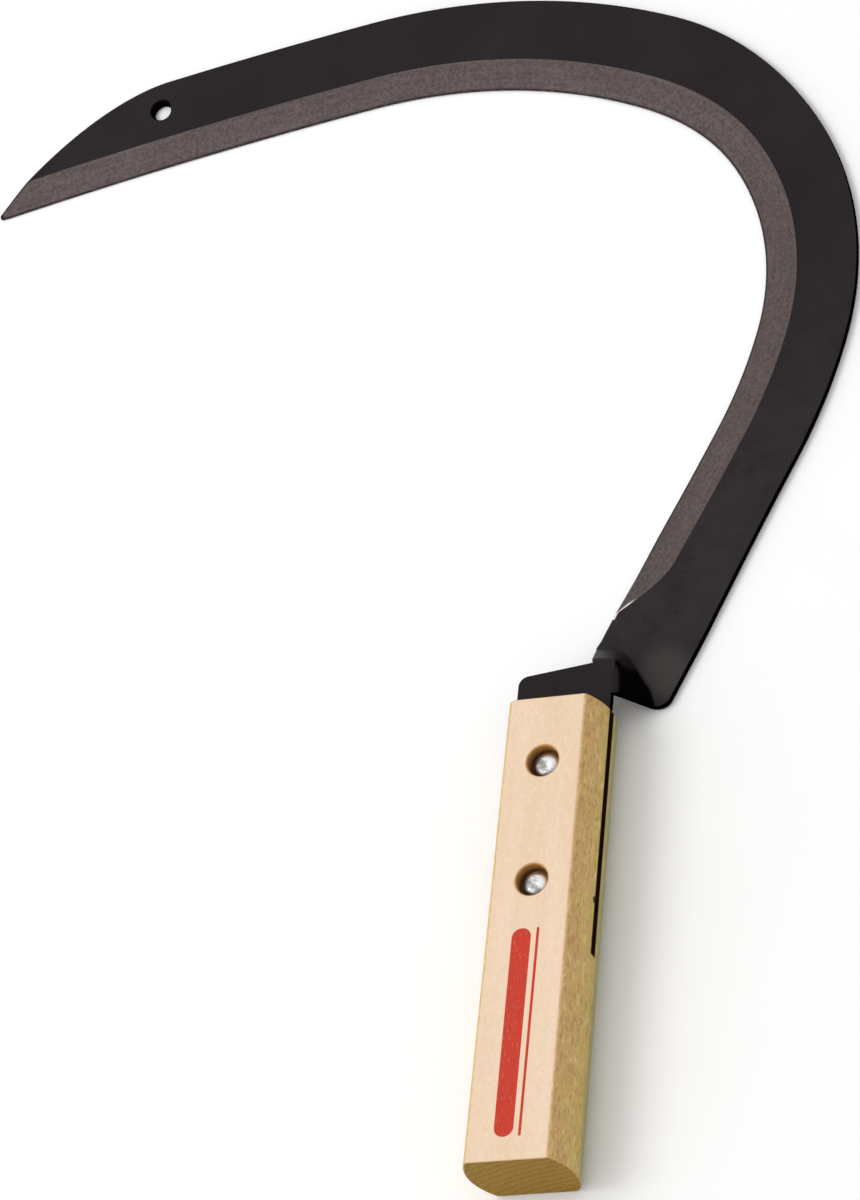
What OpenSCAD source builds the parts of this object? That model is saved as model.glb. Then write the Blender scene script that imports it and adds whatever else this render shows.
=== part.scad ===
// Hand sickle: a flat steel hook with a ground inner edge, joggled up into a flat tang that is riveted
// into the saw kerf of a wooden handle.
// The origin is the centre of the handle's flat back, on the plane that the sickle lies on.
// +Y runs up the handle towards the blade, +X towards the blade's heel, +Z out of the handle's front.

/* [Handle] */
// Length of the handle
handle_len = 152.4; // [140:0.1:165]
// Thickness of the handle, from its flat back to its flat front
handle_depth = 26; // [25:0.5:30]
// Width of the flat front and of the flat back, midway along the handle
handle_face_w = 25.6; // [24:0.2:28]
// Width across the bulged sides, midway along the handle
handle_mid_w = 32.8; // [32.6:0.2:36]
// Lean of each side, in degrees, by which the handle widens towards its butt
side_lean = 0.35; // [0:0.05:0.5]
// Depth of the saw kerf, from the handle's top end
kerf_len = 82; // [75:1:90]
// Width of the saw kerf
kerf_w = 2.6; // [2.5:0.05:3]

/* [Rivets] */
// Distance of the upper rivet from the handle's top end
first_rivet = 22; // [18:0.5:26]
// Distance between the two rivets
rivet_pitch = 39.7; // [36:0.1:42]
// Diameter of the counterbores, on the front and on the back
counterbore_d = 10.3; // [10:0.1:12]
// Depth of the counterbores
counterbore_depth = 4.6; // [4.4:0.1:6]
// Diameter of the rivet's shank
shank_d = 4.8; // [4:0.1:5]
// Diameter of the domed head
head_d = 9.2; // [8:0.1:9.4]
// Height of the domed head
head_h = 2.5; // [1.8:0.1:2.8]
// Diameter of the formed tail on the burr
tail_d = 7.2; // [6.6:0.1:7.6]
// Height of the formed tail
tail_h = 1.8; // [1.4:0.1:2]
// Diameter of the burr, the washer under the tail
burr_d = 9.6; // [9:0.1:9.8]
// Thickness of the burr
burr_t = 1.2; // [0.8:0.1:1.6]

/* [Sheet steel] */
// Thickness of the sheet
sheet_t = 2.4; // [2:0.1:2.45]
// Width of the tang
tang_w = 31.4; // [30:0.1:31.6]
// Length of the tang inside the kerf
tang_in_kerf = 72; // [68:1:74]
// Height of the tang's outer shoulder above the handle
shoulder_rise = 14.2; // [12:0.2:16]
// Radius of the tang's outer shoulder
shoulder_r = 3.4; // [2:0.2:5]
// Radius of the tang's two corners inside the kerf
tang_corner_r = 8; // [4:0.5:10]
// Distance of the heel's square-cut edge from the handle
heel_gap = 5.4; // [4:0.2:7]
// Radius of the heel's outer corner
heel_r = 4.3; // [3:0.1:6]

/* [Hook] */
// Direction of the lower arm, from +X
arm_angle = 65.7; // [64:0.1:67]
// Straight length of the lower arm
arm_len = 80; // [75:1:90]
// Radius and angle of the first bend, on the blade's centre line
lower_bend = [180, 13];
// Radius and angle of the crown, the tightest bend
crown_bend = [101, 77];
// Radius and angle of the bend into the upper arm
upper_bend = [193, 31.75];
// Radius of the nearly straight upper arm
point_r = 1740; // [1200:10:2400]
// Length of the upper arm
point_len = 142.2; // [130:0.1:145]
// Width of the blade at the heel
heel_w = 33.2; // [32:0.1:34]
// Width of the lower arm
arm_w = 31.1; // [30:0.1:32]
// Width of the upper arm
point_w = 34.2; // [33:0.1:36]
// Length of the tapering point
taper_len = 68; // [50:1:75]
// Radius of the point itself
tip_r = 1.2; // [0.5:0.1:1.4]
// Width of the ground bevel
bevel_w = 11; // [8:0.5:13]
// Length over which the bevel runs out at the heel
bevel_runout = 24; // [18:1:32]
// Thickness left at the cutting edge
edge_t = 0.4; // [0.3:0.1:0.8]
// Distance by which the inner edge is drawn in at the heel
heel_inset = 1.4; // [0:0.1:2]
// Diameter of the hanging hole
hole_d = 6.4; // [5:0.1:7]
// Distance of the hanging hole from the point
hole_from_point = 65.4; // [62:0.1:72]

/* [Hidden] */
$fn = 64;
slack = 0.1;               // play between a shank and its hole in the wood
over = 1;                  // how far a cutting tool runs past the face that it cuts
top_y = handle_len / 2;    // the handle's top end
mid_z = handle_depth / 2;
rivet_y = [top_y - first_rivet, top_y - first_rivet - rivet_pitch];
tang_z = mid_z - sheet_t / 2;
heel_y = top_y + heel_gap;
shoulder_y = top_y + shoulder_rise;
tang_end_y = top_y - tang_in_kerf;
blade_start = [18.9, top_y + 22.9];
blade_legs = [
    [arm_len, 0],
    [arc_length(lower_bend), lower_bend[0]],
    [arc_length(crown_bend), crown_bend[0]],
    [arc_length(upper_bend), upper_bend[0]],
    [point_len, point_r]
];
blade_len = arm_len + arc_length(lower_bend) + arc_length(crown_bend) + arc_length(upper_bend) + point_len;
widen_from = arm_len + arc_length(lower_bend) + 80;   // where the blade starts to widen towards the point
widen_len = 58;
narrow_len = 70;                                      // over which the heel narrows to the arm
ring_step = 7;                                        // spacing of the blade's cross-sections
last_step = 0.6;                                      // from the last one to the point, in ring steps
runout_from = 9;                                      // where the bevel starts, from the blade's start
inset_len = 45;                                       // over which the heel's inset fades out
runout_power = 1.55;                                  // how bluntly the bevel runs out
taper_power = 1.75;                                   // how bluntly the point tapers
tip_angle = atan(point_w * taper_power / taper_len);  // between the two edges that meet at the point

// The joggle is a ramp between two creases. Each crest point, on the tang, has its foot on the blade.
crest = [
    [8, top_y + 16.9], [12.2, top_y + 17.2], [15.2, top_y + 16.8], [16.2, top_y + 15.2],
    [16.4, top_y + 12.6], [16.5, top_y + 9.2], [16.5, heel_y]
];
foot = [
    [4.3, top_y + 27.2], [9.6, top_y + 26.9], [14.2, top_y + 24.4], [17.6, top_y + 19.6],
    [20.7, top_y + 15.2], [23.6, top_y + 10.8], [25, heel_y]
];

function arc_length(bend) = bend[0] * bend[1] * PI / 180;

// A smooth step from 0 to 1
function ease(u) = let (v = min(max(u, 0), 1)) v * v * (3 - 2 * v);

// The point [x, y, heading] that lies a distance d further along a line (r = 0) or an arc
function step(p, d, r) =
    r == 0 ? [p[0] + d * cos(p[2]), p[1] + d * sin(p[2]), p[2]]
    : let (h = p[2] + d / r * 180 / PI)
        [p[0] + r * (sin(h) - sin(p[2])), p[1] - r * (cos(h) - cos(p[2])), h];

// The point [x, y, heading] that lies a distance s along the chain of legs
function walk(p, s, i = 0) =
    i == len(blade_legs) - 1 || s <= blade_legs[i][0] ? step(p, s, blade_legs[i][1])
    : walk(step(p, blade_legs[i][0], blade_legs[i][1]), s - blade_legs[i][0], i + 1);

// The point [x, y, heading] that lies a distance s along the blade's centre line
function along(s) = walk([blade_start[0], blade_start[1], arm_angle], s);

function blade_width(s) =
    heel_w + (arm_w - heel_w) * ease(s / narrow_len) + (point_w - arm_w) * ease((s - widen_from) / widen_len);

// How far the inner edge is drawn in, which fades out along the bevel's run-out
function edge_inset(s) = heel_inset * (1 - ease(s / inset_len));

// The width that the tapering point leaves, as a share of the full width
function taper(s) =
    let (u = (s - blade_len + taper_len) / taper_len) u <= 0 ? 1 : 1 - pow(u, taper_power);

// The bevel's width, which is negative where the grinding has not yet reached the edge
function bevel_at(s) =
    let (u = (runout_from + bevel_runout - s) / bevel_runout)
        u <= 0 ? bevel_w : bevel_w * (1 - pow(u, runout_power));

// A point on the blade: s along it, and a distance in from the cutting edge
function on_blade(s, from_edge) =
    let (p = along(s), side = [-sin(p[2]), cos(p[2])])
        [p[0], p[1]] + side * (blade_width(s) / 2 - from_edge);

function at_z(p, z) = [p[0], p[1], z];

// Points along an arc, both ends included
function arc(centre, r, from, to) =
    [for (i = [0:8]) let (a = from + (to - from) * i / 8) centre + r * [cos(a), sin(a)]];

// A cross-section of what the grinding takes off: a wedge whose long side is the bevel, and whose
// other two sides lie clear of the sheet
function bevel_ring(s) =
    let (b = bevel_at(s), slope = (sheet_t - edge_t) / bevel_w) [
        at_z(on_blade(s, b + over), sheet_t + slope * over),
        at_z(on_blade(s, -over), sheet_t - slope * (b + over)),
        at_z(on_blade(s, -over), sheet_t + over)
    ];

// Joins the rings of a sweep into one closed solid
module sweep(rings) {
    n = len(rings[0]);
    last = len(rings) - 1;
    sides = [for (i = [0:last - 1], j = [0:n - 1], half = [0, 1])
        let (a = i * n + j, b = i * n + (j + 1) % n)
            half == 0 ? [b + n, b, a] : [a + n, b + n, a]];
    polyhedron([for (ring = rings, p = ring) p],
        concat(sides, [[for (j = [0:n - 1]) j]], [[for (j = [n - 1:-1:0]) last * n + j]]));
}

// A cross-section of the joggle. The creases on the sheet's two skins lie k to either side of the
// crease at half its thickness, so the ramp is as thick as the flats that it joins.
function joggle_ring(i) =
    let (
        run = norm(foot[i] - crest[i]),
        m = (foot[i] - crest[i]) / run,
        k = m * sheet_t / 2 * tan(atan(tang_z / run) / 2)
    ) [
        at_z(crest[i] - k, tang_z + sheet_t),
        at_z(crest[i] - k, tang_z),
        at_z(foot[i] - k, 0),
        at_z(foot[i] + k, 0),
        at_z(foot[i] + k, sheet_t),
        at_z(crest[i] + k, tang_z + sheet_t)
    ];

module joggle() {
    sweep([for (i = [0:len(crest) - 1]) joggle_ring(i)]);
}

module tang() {
    half = tang_w / 2;
    translate([0, 0, tang_z]) linear_extrude(sheet_t) difference() {
        polygon(concat(
            arc([half - tang_corner_r, tang_end_y + tang_corner_r], tang_corner_r, 0, -90),
            arc([tang_corner_r - half, tang_end_y + tang_corner_r], tang_corner_r, -90, -180),
            arc([shoulder_r - half, shoulder_y - shoulder_r], shoulder_r, 180, 97),
            crest,
            [[half, heel_y]]));
        for (y = rivet_y) translate([0, y]) circle(d = shank_d + 4 * slack);
    }
}

// The flat hook, from the joggle's foot round the heel's corner, along to the rounded point and back
module hook() {
    count = ceil(blade_len / ring_step);
    at = concat([for (i = [0:count - 1]) i], count - last_step) / count * blade_len;
    tip_s = blade_len - tip_r / tan(tip_angle / 2);
    tip_heading = along(tip_s)[2];
    outer = on_blade(0, heel_w);
    corner_x = outer[0] - (outer[1] - heel_y) / tan(arm_angle) - heel_r * tan(arm_angle / 2);
    ramp = (foot[0] - crest[0]) / norm(foot[0] - crest[0]);
    linear_extrude(sheet_t) polygon(concat(
        [foot[0] + ramp * sheet_t / 2],
        foot,
        arc([corner_x, heel_y + heel_r], heel_r, -90, arm_angle - 90),
        [for (s = at) on_blade(s, blade_width(s) * taper(s))],
        arc(on_blade(tip_s, tip_r), tip_r, tip_heading - 90 + tip_angle, tip_heading + 90),
        [for (i = [count:-1:0]) on_blade(at[i], edge_inset(at[i]))]));
}

// What the grinding takes off along the hook's inner edge. Its rings lie midway between the outline's
// points, so that no two corners nearly meet.
module bevel() {
    count = ceil(blade_len / ring_step);
    sweep([for (i = [-1.5:1:count + 1]) bevel_ring(i / count * blade_len)]);
}

module blade() {
    hole = on_blade(blade_len - hole_from_point, (bevel_w + point_w) / 2);
    color("#2d292a") difference() {
        union() {
            tang();
            joggle();
            hook();
        }
        bevel();
        translate([hole[0], hole[1], -over]) cylinder(d = hole_d, h = sheet_t + 2 * over);
    }
}

// A barrel whose outside is one bulged side of the handle. It leans, so that the handle widens
// towards its butt.
module side_barrel(side) {
    bulge = (handle_mid_w - handle_face_w) / 2;
    side_r = (pow(mid_z, 2) + pow(bulge, 2)) / (2 * bulge);
    translate([side * (handle_mid_w / 2 - side_r), 0, mid_z]) rotate([90, 0, side * side_lean])
        cylinder(r = side_r, h = 2 * handle_len, center = true, $fn = 180);
}

module handle() {
    color("#d9b07c") difference() {
        intersection() {
            translate([-handle_mid_w, -top_y, 0]) cube([2 * handle_mid_w, handle_len, handle_depth]);
            side_barrel(1);
            side_barrel(-1);
        }
        translate([-handle_mid_w, top_y - kerf_len, mid_z - kerf_w / 2])
            cube([2 * handle_mid_w, kerf_len + over, kerf_w]);
        for (y = rivet_y) translate([0, y, 0]) {
            translate([0, 0, -over]) cylinder(d = shank_d + 2 * slack, h = handle_depth + 2 * over);
            translate([0, 0, -over]) cylinder(d = counterbore_d, h = counterbore_depth + over);
            translate([0, 0, handle_depth - counterbore_depth])
                cylinder(d = counterbore_d, h = counterbore_depth + over);
        }
    }
}

// A low dome that stands on z = 0: a slice of a sphere, turned about its axis
module dome(d, h) {
    ball_r = (pow(d / 2, 2) + pow(h, 2)) / (2 * h);
    rotate_extrude() intersection() {
        translate([0, h - ball_r]) circle(ball_r, $fn = 128);
        square([d / 2, h]);
    }
}

module rivet(y) {
    head_z = handle_depth - counterbore_depth;
    tail_z = counterbore_depth - burr_t;
    color("#c9ccd0") translate([0, y, 0]) {
        translate([0, 0, head_z]) dome(head_d, head_h);
        translate([0, 0, tail_z]) cylinder(d = shank_d, h = head_z - tail_z);
        translate([0, 0, tail_z]) mirror([0, 0, 1]) dome(tail_d, tail_h);
    }
}

module burr(y) {
    color("#b9bcc0") translate([0, y, counterbore_depth - burr_t]) difference() {
        cylinder(d = burr_d, h = burr_t);
        translate([0, 0, -over]) cylinder(d = shank_d + slack, h = burr_t + 2 * over);
    }
}

module upper_rivet() rivet(rivet_y[0]);
module lower_rivet() rivet(rivet_y[1]);
module upper_burr() burr(rivet_y[0]);
module lower_burr() burr(rivet_y[1]);

blade();
handle();
upper_rivet();
lower_rivet();
upper_burr();
lower_burr();
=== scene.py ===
import math

import bmesh
import bpy
from mathutils import Matrix, Vector


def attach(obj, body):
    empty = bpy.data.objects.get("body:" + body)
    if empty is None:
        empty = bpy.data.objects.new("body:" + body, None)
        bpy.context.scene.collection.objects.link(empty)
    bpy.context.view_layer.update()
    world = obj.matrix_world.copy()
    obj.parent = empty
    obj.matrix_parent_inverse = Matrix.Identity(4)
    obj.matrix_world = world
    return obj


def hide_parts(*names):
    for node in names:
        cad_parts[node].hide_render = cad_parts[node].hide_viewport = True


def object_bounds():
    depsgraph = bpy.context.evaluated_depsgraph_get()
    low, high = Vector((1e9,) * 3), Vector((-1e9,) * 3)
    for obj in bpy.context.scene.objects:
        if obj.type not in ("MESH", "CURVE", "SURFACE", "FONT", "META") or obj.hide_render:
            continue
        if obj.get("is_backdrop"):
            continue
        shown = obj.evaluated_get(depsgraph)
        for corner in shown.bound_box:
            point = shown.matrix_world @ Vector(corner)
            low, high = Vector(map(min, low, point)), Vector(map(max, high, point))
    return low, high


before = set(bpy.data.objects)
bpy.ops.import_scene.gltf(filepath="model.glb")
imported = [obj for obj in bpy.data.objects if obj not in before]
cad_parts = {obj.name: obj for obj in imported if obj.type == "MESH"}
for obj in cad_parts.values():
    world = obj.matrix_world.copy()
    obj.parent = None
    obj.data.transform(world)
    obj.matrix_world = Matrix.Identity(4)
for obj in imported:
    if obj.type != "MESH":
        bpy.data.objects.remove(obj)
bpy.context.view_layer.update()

# ---------------------------------------------------------------- dimensions, in millimetres
MM = 0.001
HANDLE_LEN, HANDLE_DEPTH = 152.4, 26.0
FACE_HALF = (13.25, 12.35)        # half-width of the handle's flats, at the butt and at the top
SIDE_HALF = (16.9, 15.95)         # half-width across its bulged sides, at the butt and at the top
BACK_ARRIS_R, FRONT_ARRIS_R = 1.5, 1.6
BUTT_R, TOP_R = 0.7, 0.9          # rounding of the handle's two ends
KERF_LEN, KERF_W = 82.0, 2.6
TOP_Y = HANDLE_LEN / 2
MID_Z = HANDLE_DEPTH / 2
CHIP_AT = (11.3, MID_Z + KERF_W / 2 + 0.3)   # y and z of a chip beside the kerf
RIVETS = {"upper": TOP_Y - 22.0, "lower": TOP_Y - 61.7}
BORE_R, BORE_DEPTH, BORE_RIM, SHANK_R = 5.15, 4.6, 0.35, 2.4
HEAD_R, HEAD_H, TAIL_R, TAIL_H = 4.6, 2.5, 3.6, 1.8
BURR_R, BURR_T = 4.8, 1.2
SHEET_T = 2.4
TANG_Z = MID_Z - SHEET_T / 2
TANG_HALF = 15.7
TANG_END_Y = TOP_Y - 72.0
HEEL_Y = TOP_Y + 5.4
SHOULDER_Y = TOP_Y + 14.2
SHOULDER_R, TANG_CORNER_R, HEEL_R = 3.4, 8.0, 4.3
BEVEL_W, BEVEL_RUNOUT, RUNOUT_FROM, EDGE_T = 11.0, 24.0, 9.0, 0.4
HEEL_W, ARM_W, POINT_W, TAPER_LEN, HEEL_INSET = 33.2, 31.1, 34.2, 68.0, 1.4
RUNOUT_POWER, TAPER_POWER, INSET_LEN = 1.55, 1.75, 45.0
NARROW_LEN, WIDEN_LEN = 70.0, 58.0   # over which the heel narrows, and the arm widens again
GLINT_LEN = 14.0                  # over which the painted glint at the bevel's end fades out
TIP_R = 1.2
TIP_ANGLE = math.atan(POINT_W * TAPER_POWER / TAPER_LEN)
ARM_ANGLE = 65.7
BLADE_START = (18.9, TOP_Y + 22.9)

# the blade's centre line: the radius and the degrees of each bend, then each leg's length and radius,
# where a radius of 0 is a straight
BENDS = ((180.0, 13.0), (101.0, 77.0), (193.0, 31.75))
LEGS = [(80.0, 0.0)] + [(r * math.radians(a), r) for r, a in BENDS] + [(142.2, 1740.0)]
BLADE_LEN = sum(length for length, _ in LEGS)
WIDEN_FROM = LEGS[0][0] + LEGS[1][0] + 80.0   # 80 mm into the crown
TIP_S = BLADE_LEN - TIP_R / math.tan(TIP_ANGLE / 2)   # the centre of the rounded point
HOLE_R, HOLE_FROM_POINT = 3.2, 65.4

# the joggle's crest and foot, from the inner edge to the heel: x, and y above the handle's top
CREST = [(8.6, 17.2), (12.2, 17.2), (15.2, 16.8), (16.2, 15.2), (16.4, 12.6), (16.5, 9.2), (16.5, 5.75)]
FOOT = [(4.8, 27.1), (9.6, 26.9), (14.2, 24.4), (17.6, 19.6), (20.7, 15.2), (23.6, 10.8), (25.0, 5.75)]
CREST_R, FOOT_R = 2.2, (1.7, 5.5)   # radii of the joggle's bends; the foot's is largest near the heel
EDGE_R = 0.42                     # rounding of the sheet's cut edges
OUT = 1.0                         # how far a cutter runs past the face that it cuts

# the blade's rows of faces: where they start, past the joggle, how far they slant there and over what
# length they straighten, how far apart they lie near the heel and further on, how many lie on the
# taper, and the angles in degrees of those round the point
ROWS_FROM, ROW_SLANT, SLANT_LEN = 1.0, 5.5, 28.0
FINE_STEP, COARSE_STEP, TAPER_ROWS = 1.0, 3.0, 30
TIP_ANGLES = (0, 20, 38, 54, 68, 79, 86)
BEVEL_COLS, FLAT_COLS = 4, 5      # faces across the bevel, and across the rest, in each row
BEND_STEPS = 8                    # faces round each bend of the joggle

# the growth rings in the end grain: x and z of their centre, and radians of ring per millimetre
HEART, RING_RATE = (30.0, -55.0), 2.3

# the printed bar and pin line on the handle's front: x, half-width and corner radius of each
PRINT_Y, PRINT_HALF_LEN = -35.0, 33.5
BAR, PIN_LINE = (-1.6, 3.1, 3.0), (3.6, 0.45, 0.4)


# ---------------------------------------------------------------- the blade's outline
def ease(u):
    """A smooth step from 0 to 1."""
    v = min(max(u, 0.0), 1.0)
    return v * v * (3 - 2 * v)


def walk(s):
    """The point and heading at a distance s along the blade's centre line."""
    x, y, h = BLADE_START[0], BLADE_START[1], math.radians(ARM_ANGLE)
    for i, (length, r) in enumerate(LEGS):
        d = s if i == len(LEGS) - 1 else min(s, length)
        if r == 0:
            x, y = x + d * math.cos(h), y + d * math.sin(h)
        else:
            turned = h + d / r
            x, y = x + r * (math.sin(turned) - math.sin(h)), y - r * (math.cos(turned) - math.cos(h))
            h = turned
        s -= d
        if s <= 0:
            break
    return x, y, h


def blade_width(s):
    """The width at s, before the point's taper."""
    return (HEEL_W + (ARM_W - HEEL_W) * ease(s / NARROW_LEN)
            + (POINT_W - ARM_W) * ease((s - WIDEN_FROM) / WIDEN_LEN))


def taper(s):
    """The width that the tapering point leaves, as a share of the full width."""
    u = (s - BLADE_LEN + TAPER_LEN) / TAPER_LEN
    return 1.0 if u <= 0 else 1 - u ** TAPER_POWER


def blade_span(s):
    """Where the blade starts and ends at s, measured from the cutting edge, with a rounded point."""
    past = s - TIP_S
    reach = math.sqrt(max(TIP_R ** 2 - past ** 2, 0.0))
    start = TIP_R - reach if past > 0 else 0.0
    end = TIP_R + reach if past > TIP_R * math.sin(TIP_ANGLE) else blade_width(s) * taper(s)
    return start, end


def edge_inset(s):
    """How far the inner edge is drawn in at the heel."""
    return HEEL_INSET * (1 - ease(s / INSET_LEN))


def bevel_at(s):
    """The bevel's width at s, which runs out towards the heel."""
    u = (RUNOUT_FROM + BEVEL_RUNOUT - s) / BEVEL_RUNOUT
    return BEVEL_W if u <= 0 else BEVEL_W * (1 - min(u, 1.0) ** RUNOUT_POWER)


def on_blade(s, from_edge):
    """A point on the blade: s along it, and a distance in from the cutting edge."""
    x, y, h = walk(s)
    side = blade_width(s) / 2 - from_edge
    return x - math.sin(h) * side, y + math.cos(h) * side


HOLE_AT = on_blade(BLADE_LEN - HOLE_FROM_POINT, (BEVEL_W + POINT_W) / 2)
HOLE_SHADE_AT = (HOLE_AT[0] - 0.45, HOLE_AT[1] + 0.75)   # centre of a ring of painted shade round the hole, off the hole's centre
HIGHLIGHT_SPOT = (27.5, TOP_Y + 17.0)   # where a painted highlight lies past the joggle's foot


def arc(cx, cy, r, start, end, steps=8):
    """Points along an arc, both ends included; the angles are in degrees."""
    angles = [math.radians(start + (end - start) * i / steps) for i in range(steps + 1)]
    return [(cx + r * math.cos(a), cy + r * math.sin(a)) for a in angles]


# ---------------------------------------------------------------- mesh helpers
def make_object(name, verts, faces, materials, face_slots=None):
    """A closed mesh object from vertices in millimetres."""
    mesh = bpy.data.meshes.new(name)
    mesh.from_pydata([Vector(v) * MM for v in verts], [], faces)
    for material in materials:
        mesh.materials.append(material)
    if face_slots:
        mesh.polygons.foreach_set("material_index", face_slots)
    bm = bmesh.new()
    bm.from_mesh(mesh)
    bmesh.ops.recalc_face_normals(bm, faces=bm.faces)
    bm.to_mesh(mesh)
    bm.free()
    obj = bpy.data.objects.new(name, mesh)
    bpy.context.scene.collection.objects.link(obj)
    soften(obj)
    return obj


def soften(obj, sharp=32):
    """Smooth shading, broken where two faces meet at more than sharp degrees."""
    obj.data.shade_smooth()
    obj.data.set_sharp_from_angle(angle=math.radians(sharp))


def apply_modifiers(obj):
    """Makes the mesh that the modifiers give the object's own."""
    bpy.context.view_layer.update()
    graph = bpy.context.evaluated_depsgraph_get()
    mesh = bpy.data.meshes.new_from_object(obj.evaluated_get(graph))
    obj.modifiers.clear()
    old = obj.data
    obj.data = mesh
    bpy.data.meshes.remove(old)


def cut(obj, cutters):
    """Takes closed cutter objects off obj, one at a time, and removes them."""
    for cutter in cutters:
        boolean = obj.modifiers.new("cut", "BOOLEAN")
        boolean.operation = "DIFFERENCE"
        boolean.solver = "EXACT"
        boolean.object = cutter
        apply_modifiers(obj)
        bpy.data.objects.remove(cutter)


def weigh_normals(obj):
    """Keeps flats flat: their normals come from the large faces, not from the rounded edges."""
    weighted = obj.modifiers.new("normals", "WEIGHTED_NORMAL")
    weighted.keep_sharp = True
    weighted.weight = 80
    apply_modifiers(obj)


def lathe(name, profile, centre, materials, steps=64, wobble=None):
    """A solid of revolution about +Z through centre, from (radius, z) pairs; radius 0 ends are poles."""
    verts, rings = [], []
    for r, z in profile:
        if r == 0:
            rings.append([len(verts)])
            verts.append((centre[0], centre[1], centre[2] + z))
            continue
        ring = []
        for i in range(steps):
            a = 2 * math.pi * i / steps
            dr, dz = wobble(a, r, z) if wobble else (0.0, 0.0)
            ring.append(len(verts))
            verts.append((centre[0] + (r + dr) * math.cos(a), centre[1] + (r + dr) * math.sin(a),
                          centre[2] + z + dz))
        rings.append(ring)
    faces = []
    loops = rings if profile[0][0] == 0 and profile[-1][0] == 0 else rings + rings[:1]
    for a, b in zip(loops, loops[1:]):
        for i in range(steps):
            j = (i + 1) % steps
            if len(a) == 1:
                faces.append((a[0], b[i], b[j]))
            elif len(b) == 1:
                faces.append((a[i], a[j], b[0]))
            else:
                faces.append((a[i], a[j], b[j], b[i]))
    return make_object(name, verts, faces, materials)


# ---------------------------------------------------------------- materials
class Nodes:
    """Short names for building one node material."""

    def __init__(self, name):
        self.material = bpy.data.materials.new(name)
        self.material.use_nodes = True
        self.tree = self.material.node_tree
        self.tree.nodes.clear()
        self.output = self.add("ShaderNodeOutputMaterial")
        self.bsdf = self.add("ShaderNodeBsdfPrincipled")
        self.tree.links.new(self.bsdf.outputs[0], self.output.inputs[0])
        self.coords = self.add("ShaderNodeTexCoord").outputs["Object"]

    def add(self, kind, **settings):
        node = self.tree.nodes.new(kind)
        for key, value in settings.items():
            setattr(node, key, value)
        return node

    def feed(self, socket, value):
        """Links value to a socket if it is another node's output, or else sets it."""
        if isinstance(value, bpy.types.NodeSocket):
            self.tree.links.new(value, socket)
        elif isinstance(value, tuple) and len(value) == 3 and socket.type == "RGBA":
            socket.default_value = (*value, 1.0)
        else:
            socket.default_value = value

    def math(self, operation, a, b=0.0):
        node = self.add("ShaderNodeMath", operation=operation)
        self.feed(node.inputs[0], a)
        self.feed(node.inputs[1], b)
        return node.outputs[0]

    def per_mm(self, x, y, z):
        """Object coordinates scaled so that one unit is 1/x, 1/y and 1/z mm."""
        node = self.add("ShaderNodeMapping")
        self.feed(node.inputs["Vector"], self.coords)
        node.inputs["Scale"].default_value = (x / MM, y / MM, z / MM)
        return node.outputs[0]

    def noise(self, vector, detail=3.0, roughness=0.5, distortion=0.0):
        node = self.add("ShaderNodeTexNoise")
        self.feed(node.inputs["Vector"], vector)
        self.feed(node.inputs["Scale"], 1.0)
        self.feed(node.inputs["Detail"], detail)
        self.feed(node.inputs["Roughness"], roughness)
        self.feed(node.inputs["Distortion"], distortion)
        return node.outputs[0]

    def smooth(self, value, low, high):
        """0 below low and 1 above high, with a smooth step between."""
        node = self.add("ShaderNodeMapRange", interpolation_type="SMOOTHSTEP")
        self.feed(node.inputs["Value"], value)
        self.feed(node.inputs["From Min"], low)
        self.feed(node.inputs["From Max"], high)
        return node.outputs[0]

    def mix(self, factor, a, b):
        """Colour a where factor is 0 and colour b where it is 1."""
        node = self.add("ShaderNodeMix", data_type="RGBA")
        self.feed(node.inputs[0], factor)
        self.feed(node.inputs[6], a)
        self.feed(node.inputs[7], b)
        return node.outputs[2]

    def blend_value(self, factor, a, b):
        """The same for two numbers."""
        node = self.add("ShaderNodeMix", data_type="FLOAT")
        self.feed(node.inputs[0], factor)
        self.feed(node.inputs[2], a)
        self.feed(node.inputs[3], b)
        return node.outputs[0]

    def axis(self, vector, index):
        node = self.add("ShaderNodeSeparateXYZ")
        self.feed(node.inputs[0], vector)
        return node.outputs[index]

    def place(self):
        """The three object coordinates, in millimetres."""
        return [self.math("DIVIDE", self.axis(self.coords, i), MM) for i in range(3)]

    def near(self, a, b, centre, inner, outer):
        """1 within inner of a centre in the plane of a and b, and 0 past outer."""
        da = self.math("SUBTRACT", a, centre[0])
        db = self.math("SUBTRACT", b, centre[1])
        return self.smooth(self.reach(da, db), outer, inner)

    def reach(self, a, b):
        """The length of the hypotenuse of a and b."""
        squares = [self.math("MULTIPLY", value, value) for value in (a, b)]
        return self.math("SQRT", self.math("ADD", *squares))

    def combine(self, x, y, z):
        node = self.add("ShaderNodeCombineXYZ")
        for socket, value in zip(node.inputs, (x, y, z)):
            self.feed(socket, value)
        return node.outputs[0]

    def normal(self):
        return self.add("ShaderNodeNewGeometry").outputs["Normal"]

    def edges(self, radius):
        """1 along the convex and concave edges of the mesh, 0 on its faces."""
        bevel = self.add("ShaderNodeBevel", samples=4)
        bevel.inputs["Radius"].default_value = radius * MM
        dot = self.add("ShaderNodeVectorMath", operation="DOT_PRODUCT")
        self.feed(dot.inputs[0], bevel.outputs[0])
        self.feed(dot.inputs[1], self.normal())
        return self.smooth(dot.outputs["Value"], 0.99, 0.86)

    def attribute(self, name):
        """A number that the mesh carries at each vertex."""
        return self.add("ShaderNodeAttribute", attribute_name=name).outputs["Fac"]

    def bump(self, height, strength, distance, under=None):
        node = self.add("ShaderNodeBump")
        self.feed(node.inputs["Height"], height)
        self.feed(node.inputs["Strength"], strength)
        self.feed(node.inputs["Distance"], distance * MM)
        if under is not None:
            self.feed(node.inputs["Normal"], under)
        return node.outputs[0]

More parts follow.
